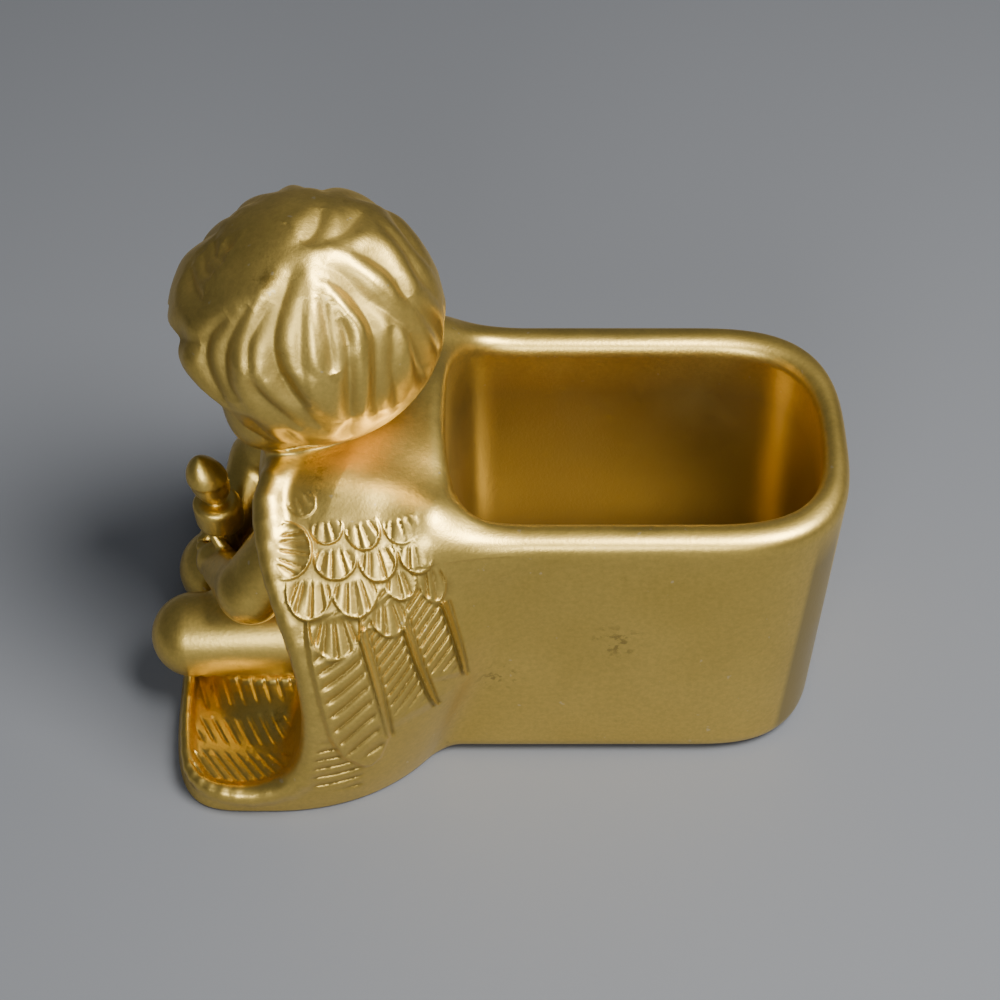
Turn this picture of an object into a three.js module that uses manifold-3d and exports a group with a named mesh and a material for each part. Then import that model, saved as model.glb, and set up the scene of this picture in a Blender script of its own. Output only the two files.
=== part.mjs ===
// Cherub planter: a cast child with cupped wings leans over a candle, with an open planter box at its back.
// Millimetres, +Z up, the length along X with the child at -X, the middle plane of the casting at Y = 0.
import * as THREE from "three";
import { mergeVertices } from "three/addons/utils/BufferGeometryUtils.js";
import Module from "manifold-3d";

const wasm = await Module();
wasm.setup();

// Planter box
const boxHeight = 69.0;
const boxWidth = 68.0;
const boxEnd = 76.0;
const boxEndRound = 33.0;
const boxFront = -26.0;
const boxSquareness = 3.0;
const wallThickness = 8.0;
const endWall = 5.8;
const floorThickness = 6.0;
const sideDraft = 2.0;
const endDraft = 4.0;
const footRound = 4.0;
const cavityCorner = 8.0;
const rimRound = 3.4;
const cavityFront = -9.0;
const cavityFrontRound = 12.0;
const cavityDraft = 2.0;

// Cupped wings, as one domed shell round the child
const wingHeight = 78.0;
const wingHalfWidth = 49.5;
const wingWaistHeight = 10.0;
const wingFullness = 3.0;
const wingFrontReach = 22.3;
const wingFrontSquareness = 4.5;
const wingBackSquareness = 2.6;
const wingFootInset = 0.8;
const featherRise = 2.0;
const featherSink = 1.6;
const rootSink = 0.8;
const edgeRadius = 2.6;
const shoulderRadius = 4.4;
const hollowDepth = 24.0;

// Child
const headCentre = [-35.6, 0.0, 100.8];
const headRadii = [26.9, 26.0, 26.2];
const lockCount = 14;
const lockRelief = 1.5;
const lockSweep = 1.15;
const crownLean = 0.37;
const faceCentre = [-39.4, 0.0, 89.6];
const faceRadius = 17.4;
const faceLook = [-0.78, 0.0, -0.62];
const faceEdge = 0.7;
const faceInset = 4.5;
const noseRadius = 2.9;
const cheekRadius = 7.4;
const neckRadius = 9.5;
const kneeRadius = 9.4;
const thighRadius = 10.2;
const upperArmRadius = 8.0;
const elbowRadius = 7.2;
const wristRadius = 4.6;
const handRadius = 5.6;

// Candle held in both hands
const candleRadius = 5.0;
const candleHeight = 7.3;
const candleBase = [-58.7, 0.0, 40.2];
const candleNeckRadius = 2.7;
const candleNeckHeight = 7.5;
const candleLean = 0.1;
const wickRadius = 1.7;
const flameRadius = 4.1;
const flameHeight = 14.0;

const boxHalfWidth = boxWidth / 2;
const cavityHalfWidth = boxHalfWidth - wallThickness;
const shoulderOut = boxHalfWidth - rimRound + 0.4;
const cavityEnd = boxEnd - endWall;
const cavityEndRound = boxEndRound - endWall;

// Piecewise straight reading of a table of heights and values.
function along(height, heights, values) {
  let i = 0;
  while (i < heights.length - 2 && height > heights[i + 1]) i += 1;
  const share = (height - heights[i]) / (heights[i + 1] - heights[i]);
  return values[i] + (values[i + 1] - values[i]) * Math.min(Math.max(share, 0), 1);
}

// Closed body of a geometry, ready to join and to cut.
function solid(geometry) {
  const bare = geometry.index ? geometry.toNonIndexed() : geometry;
  bare.deleteAttribute("normal");
  bare.deleteAttribute("uv");
  const merged = mergeVertices(bare, 1e-4);
  const index = [];
  for (let i = 0; i < merged.index.count; i += 3) {
    const a = merged.index.getX(i);
    const b = merged.index.getX(i + 1);
    const c = merged.index.getX(i + 2);
    if (a !== b && b !== c && c !== a) index.push(a, b, c);
  }
  const mesh = new wasm.Mesh({
    numProp: 3,
    vertProperties: new Float32Array(merged.attributes.position.array),
    triVerts: new Uint32Array(index),
  });
  const body = new wasm.Manifold(mesh);
  return body.volume() > 0 ? body : turned(geometry);
}

// The same body with its faces turned outwards.
function turned(geometry) {
  const bare = geometry.index ? geometry.toNonIndexed() : geometry.clone();
  const places = bare.attributes.position;
  const first = new THREE.Vector3();
  const second = new THREE.Vector3();
  for (let i = 0; i < places.count; i += 3) {
    first.fromBufferAttribute(places, i + 1);
    second.fromBufferAttribute(places, i + 2);
    places.setXYZ(i + 1, second.x, second.y, second.z);
    places.setXYZ(i + 2, first.x, first.y, first.z);
  }
  return solid(bare);
}

// Moves every vertex of a geometry to the place that a function gives for it.
function mapped(geometry, place) {
  const places = geometry.attributes.position;
  const p = new THREE.Vector3();
  for (let i = 0; i < places.count; i += 1) {
    p.fromBufferAttribute(places, i);
    const q = place(p);
    places.setXYZ(i, q[0], q[1], q[2]);
  }
  return geometry;
}

// A share so small that it is only rounding counts as nothing, so that the seam of a sweep meets itself.
function snapped(share) {
  return Math.abs(share) < 1e-5 ? 0 : share;
}

function ellipsoid(centre, radii, tilt = 0, around = 12, rows = 8) {
  const shape = new THREE.SphereGeometry(1, around, rows);
  shape.rotateX(Math.PI / 2);
  shape.scale(radii[0], radii[1], radii[2]);
  shape.rotateY(tilt);
  shape.translate(centre[0], centre[1], centre[2]);
  return solid(shape);
}

// Rounded limb that narrows from one ball to another.
function limb(start, end, startRadius, endRadius, around = 10) {
  const from = new THREE.Vector3(...start);
  const to = new THREE.Vector3(...end);
  const length = from.distanceTo(to);
  const lean = Math.asin((startRadius - endRadius) / length);
  const profile = [];
  const steps = 3;
  for (let i = 0; i <= steps; i += 1) {
    const a = -Math.PI / 2 + (i / steps) * (Math.PI / 2 + lean);
    profile.push(new THREE.Vector2(startRadius * Math.cos(a), startRadius * Math.sin(a)));
  }
  for (let i = 0; i <= steps; i += 1) {
    const a = lean + (i / steps) * (Math.PI / 2 - lean);
    profile.push(new THREE.Vector2(endRadius * Math.cos(a), length + endRadius * Math.sin(a)));
  }
  profile[0].x = 0;
  profile[profile.length - 1].x = 0;
  const shape = new THREE.LatheGeometry(profile, around);
  const up = new THREE.Vector3(0, 1, 0);
  shape.applyQuaternion(new THREE.Quaternion().setFromUnitVectors(up, to.clone().sub(from).normalize()));
  shape.translate(from.x, from.y, from.z);
  return solid(shape);
}

// Planter box: a profile of inset and height, swept round a long oval.
function ovalBody(profile, frontX, endX, frontRound, endRound, halfWidth, around) {
  const points = profile.map(([share, z]) => new THREE.Vector2(share, z));
  const shape = new THREE.LatheGeometry(points, around);
  shape.rotateX(Math.PI / 2);
  const nearest = (share, z) => profile.reduce((best, row) =>
    Math.hypot(row[0] - share, row[1] - z) < Math.hypot(best[0] - share, best[1] - z) ? row : best);
  return solid(mapped(shape, (p) => {
    const share = Math.hypot(p.x, p.y);
    const angle = Math.atan2(p.y, p.x);
    const [, , side, end] = nearest(share, p.z);
    const c = snapped(Math.cos(angle));
    const s = snapped(Math.sin(angle));
    const bend = 2 / boxSquareness;
    const round = c > 0 ? endRound : frontRound;
    const inner = c > 0 ? endX - endRound : frontX + frontRound;
    const middle = (endX + frontX + frontRound - endRound) / 2;
    const reach = (inner - middle) + Math.sign(c) * (round - end) * Math.abs(c) ** bend;
    const width = (halfWidth - side) * Math.sign(s) * Math.abs(s) ** bend;
    return [middle + share * (c === 0 ? 0 : reach), share * width, p.z];
  }));
}

function outerProfile() {
  const rows = [[0, 0, 0, 0]];
  const steps = 3;
  rows.push([0.5, 0, sideDraft, endDraft]);
  for (let i = 0; i <= steps; i += 1) {
    const a = (i / steps) * Math.PI / 2;
    const inset = footRound * (1 - Math.sin(a));
    rows.push([1, footRound * (1 - Math.cos(a)), sideDraft + inset, endDraft + inset]);
  }
  rows.push([1, boxHeight * 0.45, sideDraft * 0.45, endDraft * 0.4]);
  for (let i = 0; i <= steps; i += 1) {
    const a = (i / steps) * Math.PI / 2;
    const inset = rimRound * (1 - Math.cos(a));
    rows.push([1, boxHeight - rimRound + rimRound * Math.sin(a), inset, inset]);
  }
  rows.push([0, boxHeight, 0, 0]);
  return rows;
}

function cavityProfile() {
  const rows = [[0, floorThickness, 0, 0]];
  const steps = 3;
  for (let i = 0; i <= steps; i += 1) {
    const a = (i / steps) * Math.PI / 2;
    const inset = cavityCorner * (1 - Math.sin(a)) + cavityDraft;
    rows.push([1, floorThickness + cavityCorner * (1 - Math.cos(a)), inset, inset]);
  }
  for (let i = 0; i <= steps; i += 1) {
    const a = (i / steps) * Math.PI / 2;
    const flare = -rimRound * (1 - Math.cos(a));
    rows.push([1, boxHeight - rimRound + rimRound * Math.sin(a), flare, flare]);
  }
  rows.push([1, wingHeight + 20, -rimRound, -rimRound]);
  rows.push([0, wingHeight + 20, 0, 0]);
  return rows;
}

// Outline of the wing shell at a height: its middle, its reach back and its half width.
function shellMiddle(z) {
  return along(z, [0, 12, 30, 45, 60, 75], [-47.7, -44, -40, -42, -45, -46]);
}

function shellReach(z) {
  return along(z, [0, 12, 30, 43, 52, 60, 66, 78], [42, 42, 45.2, 50.6, 52.8, 56, 58, 40]);
}

// Half width at a length and a height: the dome has fuller shoulders towards the box than at the leading edge.
function shellHalfWidth(x, z) {
  if (z <= wingWaistHeight) return wingHalfWidth - wingFootInset * (1 - z / wingWaistHeight) ** 2;
  const share = (z - wingWaistHeight) / (wingHeight - wingWaistHeight);
  const bend = along(x, [-42, -25], [2, 3]);
  return wingHalfWidth * Math.max(1 - share ** wingFullness, 0) ** (1 / bend);
}

// Point of the wing shell at a turn from the back (0) through the side (a quarter) to the front (a half).
function shellPoint(turn, z) {
  const c = snapped(Math.cos(turn));
  const s = snapped(Math.sin(turn));
  const back = c > 0;
  const bend = 2 / (back ? wingBackSquareness : wingFrontSquareness);
  const reach = back ? shellReach(z) : wingFrontReach * (1 - 0.25 * (z / wingHeight) ** 2);
  const x = shellMiddle(z) + reach * Math.sign(c) * Math.abs(c) ** bend;
  return [x, shellHalfWidth(x, z) * Math.sign(s) * Math.abs(s) ** bend, z];
}

function shellBody() {
  const rows = 11;
  const around = 32;
  const profile = [new THREE.Vector2(0, 0)];
  for (let i = 0; i <= rows; i += 1) profile.push(new THREE.Vector2(1, i / rows));
  profile.push(new THREE.Vector2(0, 1));
  const shape = new THREE.LatheGeometry(profile, around);
  shape.rotateX(Math.PI / 2);
  return solid(mapped(shape, (p) => {
    const z = (wingHeight - 0.4) * Math.sin(Math.min(Math.max(p.z, 0), 1) * Math.PI / 2) ** 0.9;
    const share = Math.hypot(p.x, p.y);
    if (share < 0.5) return [shellMiddle(z), 0, z];
    const edge = shellPoint(Math.atan2(p.y, p.x), z);
    const foot = z < 0.001 ? 0.965 : 1;
    return [shellMiddle(z) + (edge[0] - shellMiddle(z)) * foot, edge[1] * foot, z];
  }));
}

// Point over the side of the wing shell at a length, a height and a rise, on the near or the far wing.
function overShell(x, z, rise, side) {
  const spot = (u, w) => {
    const reach = u > shellMiddle(w) ? shellReach(w) : wingFrontReach;
    const power = u > shellMiddle(w) ? wingBackSquareness : 2;
    const share = Math.min(Math.abs((u - shellMiddle(w)) / reach), 0.985);
    return shellHalfWidth(u, w) * (1 - share ** power) ** (1 / power);
  };
  const step = 0.5;
  const y = spot(x, z);
  const slopeX = (spot(x + step, z) - spot(x - step, z)) / (2 * step);
  const slopeZ = (spot(x, z + step) - spot(x, z - step)) / (2 * step);
  const normal = new THREE.Vector3(-slopeX, 1, -slopeZ).normalize();
  return [x + normal.x * rise, side * (y + normal.y * rise), z + normal.z * rise];
}

// Feather from root to tip over the wing: narrow root sunk in the shell, broad rounded tip standing proud.
function feather(root, tip, halfWidth, side, across, lengthwise) {
  const shape = new THREE.BoxGeometry(2, 1, 1, across, lengthwise, 1);
  const axis = new THREE.Vector2(tip[0] - root[0], tip[1] - root[1]);
  const length = axis.length();
  axis.normalize();
  return solid(mapped(shape, (p) => {
    const run = 1 - (0.5 - p.y) ** 1.4;
    const round = Math.sqrt(Math.max(1 - Math.max((run - 0.6) / 0.4, 0) ** 2 * 0.82, 0));
    const offset = p.x * halfWidth * round * Math.min(0.7 + run, 1);
    const x = root[0] + axis.x * run * length - axis.y * offset;
    const z = root[1] + axis.y * run * length + axis.x * offset;
    const crown = 1 - 0.5 * p.x * p.x;
    const rise = p.z > 0 ? (featherRise + rootSink) * run ** 0.6 * crown - rootSink : -featherSink - rootSink;
    return overShell(x, z, rise, side);
  }));
}

const edgePath = [
  [-36, 8, 73.5], [-44.2, 20, 72.3], [-44.2, 28, 68], [-42.8, 34.4, 62], [-40.3, 39.5, 54.5], [-37.4, 43.5, 45],
  [-35.9, 46, 33], [-37.2, 47, 19], [-41.5, 47.4, 10], [-50, 47.8, 5.6], [-57, 47.3, 5.6],
  [-62.5, 44.8, 5.8], [-65.6, 40, 6], [-66.8, 30, 6.6], [-67, 20, 7.6], [-67, 10, 8.4], [-67, -1, 8.6],
];
const edgeRadii = [1, 1.23, 1.15, 1, 0.73, 0.46, 0.46].map((share) => share * edgeRadius);

const primaries = [
  [[-5.5, 53], [-3.0, 27], 4.4],
  [[-12.7, 54], [-9.0, 20], 5.2],
  [[-21.2, 52], [-17.0, 15], 5.6],
  [[-30.0, 49], [-26.0, 10.5], 6.2],
  [[-38.0, 44], [-33.0, 3.5], 5.4],
];
const coverts = [
  [[-10.8, 63], [-11.2, 53], 4.6],
  [[-19.0, 60], [-20.0, 49], 5.4],
  [[-30.0, 57], [-31.6, 46], 6.0],
  [[-26.0, 65], [-27.0, 54], 5.4],
  [[-35.5, 65], [-36.6, 54.5], 6.0],
  [[-14.0, 69], [-14.6, 59], 4.8],
  [[-22.4, 70], [-23.0, 60], 5.0],
  [[-30.6, 70.5], [-31.4, 60.5], 5.0],
  [[-38.6, 72], [-40.0, 60.5], 6.0],
];

// Head: a ball with locks that fan from the crown, deeper towards the ends.
function headBody() {
  const around = lockCount * 4;
  const rows = 12;
  const shape = new THREE.SphereGeometry(1, around, rows);
  const crown = new THREE.Vector3(-0.05, -crownLean, Math.sqrt(1 - crownLean ** 2 - 0.0025));
  const turn = new THREE.Quaternion().setFromUnitVectors(new THREE.Vector3(0, 1, 0), crown);
  return solid(mapped(shape, (p) => {
    const polar = Math.acos(Math.min(Math.max(p.y, -1), 1));
    const angle = Math.atan2(p.z, p.x);
    const sweep = angle + lockSweep * Math.sin(polar * 0.5) ** 2;
    const fade = Math.sin(Math.min(polar * 0.85, Math.PI / 2)) * Math.min(1, Math.max(0, (2.75 - polar) / 0.6));
    const groove = Math.abs(Math.sin(sweep * lockCount / 2));
    const relief = lockRelief * fade * (groove - 0.5);
    const q = p.clone().applyQuaternion(turn);
    const facing = q.x * faceLook[0] + q.y * faceLook[1] + q.z * faceLook[2];
    const inFace = Math.min(Math.max((facing - faceEdge) / 0.1, 0), 1);
    const grow = 1 + (relief * (1 - inFace) - faceInset * inFace) / headRadii[0];
    return [
      headCentre[0] + q.x * headRadii[0] * grow,
      headCentre[1] + q.y * headRadii[1] * grow,
      headCentre[2] + q.z * headRadii[2] * grow,
    ];
  }));
}

function candleBody() {
  const r = candleRadius;
  const n = candleNeckRadius;
  const profile = [
    [0, -candleNeckHeight - 3], [n, -candleNeckHeight - 3], [n, -0.9], [r - 0.7, -0.5], [r, 0.4],
    [r, candleHeight - 1.1], [r - 1.1, candleHeight], [wickRadius, candleHeight + 0.5], [wickRadius, candleHeight + 2.4],
    [flameRadius * 0.8, candleHeight + 4.0], [flameRadius, candleHeight + 6.5],
    [flameRadius * 0.86, candleHeight + 8.8], [flameRadius * 0.5, candleHeight + 10.6],
    [flameRadius * 0.18, candleHeight + flameHeight - 1.2], [0, candleHeight + flameHeight],
  ].map(([x, y]) => new THREE.Vector2(x, y));
  const shape = new THREE.LatheGeometry(profile, 14);
  shape.rotateX(Math.PI / 2);
  shape.rotateY(-candleLean);
  shape.translate(...candleBase);
  return solid(shape);
}

// Side view of the opening in front of the child, cut right across between the leading edges.
function frontOpening() {
  const edge = new THREE.Shape();
  edge.moveTo(-90, 7);
  edge.lineTo(-60, 6);
  edge.splineThru([[-50, 6.5], [-44.5, 9.5], [-40.5, 17], [-38.8, 25], [-38.6, 33.4], [-40, 46], [-43, 56.5],
    [-46, 64.5], [-47.5, 70.5], [-43, 76]].map(([x, z]) => new THREE.Vector2(x, z)));
  edge.lineTo(-31, 81);
  edge.lineTo(-24, 92);
  edge.lineTo(-90, 92);
  edge.closePath();
  const shape = new THREE.ExtrudeGeometry(edge, { depth: 4 * wingHalfWidth, bevelEnabled: false, curveSegments: 3 });
  shape.rotateX(Math.PI / 2);
  shape.translate(0, 2 * wingHalfWidth, 0);
  return solid(shape);
}

// Rolled leading edge of a wing, from the shoulder down and forwards along the rim of the front dish.
function leadingEdge(side) {
  const path = new THREE.CatmullRomCurve3(edgePath.map(([x, y, z]) => new THREE.Vector3(x, side * y, z)));
  const shape = new THREE.CylinderGeometry(1, 1, 1, 6, 14);
  const frames = (t) => {
    const here = path.getPoint(t);
    const ahead = path.getTangent(t);
    const out = new THREE.Vector3(0.3, side, 0.1).cross(ahead).normalize();
    return [here, out, ahead.clone().cross(out).normalize()];
  };
  return solid(mapped(shape, (p) => {
    const t = Math.min(Math.max(p.y + 0.5, 0), 1);
    const [here, out, up] = frames(t);
    const radius = along(t, [0, 0.12, 0.4, 0.5, 0.57, 0.66, 1], edgeRadii);
    here.addScaledVector(out, p.x * radius).addScaledVector(up, p.z * radius);
    return [here.x, here.y, here.z];
  }));
}

function both(make) {
  return [make(-1), make(1)];
}

let casting = shellBody().subtract(frontOpening());
casting = casting.subtract(ellipsoid([-52, 0, 36], [hollowDepth, wingHalfWidth - 8, 31], 0, 20, 10));
const added = [];
for (const [root, tip, halfWidth] of primaries) {
  added.push(...both((side) => feather(root, tip, halfWidth, side, 4, 3)));
}
for (const [root, tip, halfWidth] of coverts) {
  added.push(...both((side) => feather(root, tip, halfWidth, side, 4, 3)));
}
added.push(headBody());
added.push(ellipsoid(faceCentre, [faceRadius, faceRadius + 1.6, faceRadius], 0, 14, 10));
added.push(...both((side) => ellipsoid([-45.8, side * 8.6, 82.0], [cheekRadius, cheekRadius, cheekRadius])));
added.push(ellipsoid([-54.4, 0, 84.6], [noseRadius, noseRadius, noseRadius * 1.3], 0.7, 8, 6));
added.push(ellipsoid([-47.0, 0, 77.0], [4.4, 5.2, 3.8], 0, 8, 6));
added.push(ellipsoid([-49.5, 0, 100.5], [14.6, 19, 12], 0.5, 14, 8));
added.push(...both((side) => limb(
  [-28, side * 20, 65], [-8, side * shoulderOut, boxHeight + 1.3], 2.2 * shoulderRadius, shoulderRadius, 12)));
added.push(...both((side) => limb(
  [-8, side * shoulderOut, boxHeight + 1.3], [2, side * shoulderOut, boxHeight - rimRound - 0.4],
  shoulderRadius, rimRound, 12)));
added.push(...both(leadingEdge));
added.push(ellipsoid([-40, 0, 1], [27, 38, 15], 0, 16, 6));
added.push(limb([-29, 0, 62], [-34, 0, 80], neckRadius + 1, neckRadius, 18));
added.push(ellipsoid([-34, 0, 44], [16, 20, 26], 0.15, 14, 8));
added.push(...both((side) => limb(
  [-40, side * 18, 55], [-51, side * 19.5, 40], upperArmRadius, elbowRadius)));
added.push(...both((side) => limb(
  [-51, side * 19.5, 40], [-59.5, side * 4.5, 31], elbowRadius, wristRadius)));
added.push(...both((side) => ellipsoid(
  [-60.5, side * 3.2, 30.5], [handRadius, 0.75 * handRadius, 0.9 * handRadius], 0, 12, 8)));
added.push(limb([-65.3, -14, 19], [-32, -14.5, 21.5], kneeRadius, thighRadius, 14));
added.push(limb([-61, 7.5, 17], [-32, 14.5, 20], kneeRadius, thighRadius, 14));
added.push(candleBody());
casting = added.reduce((whole, piece) => whole.add(piece), casting);
casting = casting.add(ovalBody(outerProfile(), boxFront, boxEnd, boxEndRound * 0.6, boxEndRound, boxHalfWidth, 32));
casting = casting.subtract(
  ovalBody(cavityProfile(), cavityFront, cavityEnd, cavityFrontRound, cavityEndRound, cavityHalfWidth, 32));

// Flat underside: everything below the ground plane is cut away.
const ground = new THREE.BoxGeometry(400, 400, 60);
ground.translate(0, 0, -30);
casting = casting.subtract(solid(ground));

const cast = casting.getMesh();
const geometry = new THREE.BufferGeometry();
geometry.setAttribute("position", new THREE.BufferAttribute(cast.vertProperties, 3));
geometry.setIndex(new THREE.BufferAttribute(cast.triVerts, 1));

// The origin is the middle of the footprint on the ground.
geometry.computeBoundingBox();
const middle = geometry.boundingBox.getCenter(new THREE.Vector3());
geometry.translate(-middle.x, -middle.y, 0);
geometry.computeVertexNormals();

const gold = new THREE.MeshStandardMaterial({ color: 0xb08a3c, roughness: 0.42, metalness: 0.85 });
const planter = new THREE.Mesh(geometry, gold);
planter.name = "cherub_planter";

const part = new THREE.Group();
part.name = "part";
part.add(planter);

export default part;
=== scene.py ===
"""Cherub planter in satin gold paint: one slip casting, sculpted as a distance field in millimetres."""

import math
from concurrent.futures import ThreadPoolExecutor

import bpy
import numpy as np
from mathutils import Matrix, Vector


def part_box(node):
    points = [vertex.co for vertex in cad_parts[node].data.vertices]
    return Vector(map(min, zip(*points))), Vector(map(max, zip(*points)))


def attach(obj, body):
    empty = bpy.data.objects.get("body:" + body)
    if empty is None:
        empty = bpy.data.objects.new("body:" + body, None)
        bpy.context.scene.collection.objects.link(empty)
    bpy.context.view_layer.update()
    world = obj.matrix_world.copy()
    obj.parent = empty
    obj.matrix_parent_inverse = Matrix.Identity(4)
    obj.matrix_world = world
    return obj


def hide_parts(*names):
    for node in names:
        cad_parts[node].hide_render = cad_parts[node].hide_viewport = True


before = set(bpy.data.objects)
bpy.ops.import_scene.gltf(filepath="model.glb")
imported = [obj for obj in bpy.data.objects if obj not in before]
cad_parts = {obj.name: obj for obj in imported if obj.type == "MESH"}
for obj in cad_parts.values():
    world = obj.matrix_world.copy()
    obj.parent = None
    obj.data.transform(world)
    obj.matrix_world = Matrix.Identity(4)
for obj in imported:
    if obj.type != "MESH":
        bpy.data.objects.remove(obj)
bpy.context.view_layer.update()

# Sizes in millimetres, in the sculptor's frame: X = 0 is a little behind the middle of the length
BOX_HEIGHT, BOX_HALF_WIDTH = 69.0, 34.0
BOX_END = 76.0
BOX_STRAIGHT = (-6.2, 43.0)
BOX_ROUND = (19.8, 33.0)
BOX_SQUARE = 3.0
SIDE_DRAFT, END_DRAFT = 2.0, 4.0
FOOT_ROUND, RIM_ROUND = 5.0, 4.6
WALL = 8.0
FLOOR = 6.0
CAVITY_STRAIGHT = (3.0, 43.0)
CAVITY_ROUND = (12.0, 27.2)
CAVITY_DRAFT = 2.0
WING_HEIGHT, WING_HALF_WIDTH, WING_WAIST = 78.0, 49.5, 10.0
WING_FRONT, WING_FRONT_SQUARE, WING_BACK_SQUARE = 22.3, 4.5, 2.2
HEAD = np.array([-35.6, 0.0, 100.8])
HEAD_RADII = np.array([26.9, 26.0, 26.2])
CROWN = np.array([-0.05, -0.37, 0.9277])
FACE = np.array([-39.4, 0.0, 89.6])
FACE_LOOK = np.array([-0.78, 0.0, -0.62])
HAIRLINE = (0.66, 0.74)
CANDLE = np.array([-58.7, 0.0, 40.2])
WAX_RADIUS, WAX_HEIGHT, WAX_ROUND = 5.3, 7.3, 1.8
STEM_RADIUS, STEM_DEPTH, WICK_RADIUS = 2.7, 10.0, 1.9
FLAME_RADIUS, FLAME_MIDDLE, FLAME_TOP = 4.2, 12.6, 20.4
SHOULDER, ELBOW, WRIST = (-40, 18, 55), (-51, 19.5, 40), (-58.5, 6.5, 32)
SHOULDER_RADIUS, ELBOW_RADIUS, WRIST_RADIUS = 8.2, 7.2, 4.6
NEAR_KNEE, NEAR_SHIN = (-65.3, -14, 19), (-32, -14.5, 21.5)
FAR_KNEE, FAR_SHIN = (-61, 7.5, 17), (-32, 14.5, 20)
NEAR_KNEE_RADIUS, FAR_KNEE_RADIUS, SHIN_RADIUS = 9.4, 9.6, 10.2
BACK_OF_NECK, SHELL_CORNER, RIM_START = (-28, 20, 65), (-12, 27.5, 66.3), (3, 29.0, 62.6)

# The photograph's camera: height of the view over the ground, distance, and the X and Z that it looks at
VIEW_ANGLE = math.radians(46)
VIEW_DISTANCE = 543.0
VIEW_X, VIEW_Z = 2.3, 47.3
LENS, SENSOR = 90.0, 36.0

# The grid of the sculpture, its fine step, and the triangles that are kept
GRID_LOW, GRID_HIGH = np.array([-78.0, -52.5, -1.2]), np.array([79.0, 52.5, 129.5])
COARSE = 4
CELL = 0.4
TRIANGLES = 194000
CORES = 4
BATCH = 120000


def smin(a, b, k):
    """The smaller of two distances, with a fillet about k wide where they meet."""
    h = np.maximum(k - np.abs(a - b), 0.0) / k
    return np.minimum(a, b) - h * h * (k * 0.25)


def smax(a, b, k):
    return -smin(-a, -b, k)


def step(a, b, t):
    """Smooth step of t from 0 at a to 1 at b."""
    t = np.clip((t - a) / (b - a), 0.0, 1.0)
    return t * t * (3.0 - 2.0 * t)


def ball(x, y, z, centre, radii, tilt=0.0):
    """Ellipsoid, turned about Y by tilt."""
    x, y, z = x - centre[0], y - centre[1], z - centre[2]
    if tilt:
        c, s = math.cos(tilt), math.sin(tilt)
        x, z = c * x - s * z, s * x + c * z
    a, b, d = x / radii[0], y / radii[1], z / radii[2]
    k0 = np.sqrt(a * a + b * b + d * d)
    k1 = np.sqrt((a / radii[0]) ** 2 + (b / radii[1]) ** 2 + (d / radii[2]) ** 2) + 1e-6
    return k0 * (k0 - 1.0) / k1


def limb(x, y, z, a, b, ra, rb):
    """Rounded limb that narrows from ball a to ball b."""
    a, b = np.asarray(a, float), np.asarray(b, float)
    d = b - a
    px, py, pz = x - a[0], y - a[1], z - a[2]
    t = np.clip((px * d[0] + py * d[1] + pz * d[2]) / (d @ d), 0.0, 1.0)
    return np.sqrt((px - t * d[0]) ** 2 + (py - t * d[1]) ** 2 + (pz - t * d[2]) ** 2) - (ra + (rb - ra) * t)


def chain(x, y, z, points, radii, k=0.5):
    """Limbs end to end along a smooth path."""
    out = None
    for i in range(len(points) - 1):
        part = limb(x, y, z, points[i], points[i + 1], radii[i], radii[i + 1])
        out = part if out is None else smin(out, part, k)
    return out


def curve(points, count):
    """Catmull-Rom curve through points, as count places."""
    p = np.asarray(points, float)
    p = np.vstack([2 * p[0] - p[1], p, 2 * p[-1] - p[-2]])
    out = []
    for s in np.linspace(0, len(points) - 1 - 1e-9, count):
        i = int(s)
        t = s - i
        a, b, c, d = p[i:i + 4]
        out.append(0.5 * (2 * b + (c - a) * t + (2 * a - 5 * b + 4 * c - d) * t * t
                          + (3 * b - a - 3 * c + d) * t ** 3))
    return np.array(out)


def oval(x, y, straight, rounds, half_width, inset_side, inset_end, square):
    """Distance to an upright wall round a long oval, from its level set and slope."""
    left = x < straight[0]
    dx = x - np.clip(x, straight[0], straight[1])
    a = np.where(left, rounds[0], rounds[1]) - inset_end
    b = half_width - inset_side
    u, v = np.abs(dx) / a, np.abs(y) / b
    s = (u ** square + v ** square) ** (1.0 / square) + 1e-9
    slope = np.sqrt(((u / s) ** (square - 1) / a) ** 2 + ((v / s) ** (square - 1) / b) ** 2)
    return (s - 1.0) / (slope + 1e-6)


def box_outside(x, y, z):
    low = np.clip(1.0 - z / BOX_HEIGHT, 0.0, 1.0)
    wall = oval(x, y, BOX_STRAIGHT, BOX_ROUND, BOX_HALF_WIDTH, SIDE_DRAFT * low, END_DRAFT * low, BOX_SQUARE)
    out = smax(wall, z - BOX_HEIGHT, RIM_ROUND)
    return smax(out, -z, FOOT_ROUND)


def box_inside(x, y, z):
    low = np.clip((BOX_HEIGHT - z) / (BOX_HEIGHT - FLOOR), 0.0, 1.0)
    wall = oval(x, y, CAVITY_STRAIGHT, CAVITY_ROUND, BOX_HALF_WIDTH - WALL,
                CAVITY_DRAFT * low, CAVITY_DRAFT * low, BOX_SQUARE)
    return smax(wall, FLOOR - z, 11.0)


def shell_middle(z):
    return np.interp(z, (0, 12, 30, 45, 60, 75), (-47.7, -44, -40, -42, -45, -46))


def shell_reach(z):
    return np.interp(z, (0, 12, 30, 43, 52, 60, 66, 78), (45, 45.6, 48.9, 55.3, 58.2, 63.4, 64, 44))


def shell_half(x, z):
    share = np.clip((z - WING_WAIST) / (WING_HEIGHT - WING_WAIST), 0.0, 0.999)
    low = np.clip((WING_WAIST - z) / WING_WAIST, 0.0, 1.0)
    bend = np.interp(x, (-42, -25), (2, 3))
    return WING_HALF_WIDTH * (1.0 - share ** 3) ** (1 / bend) - 0.8 * low * low


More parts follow.
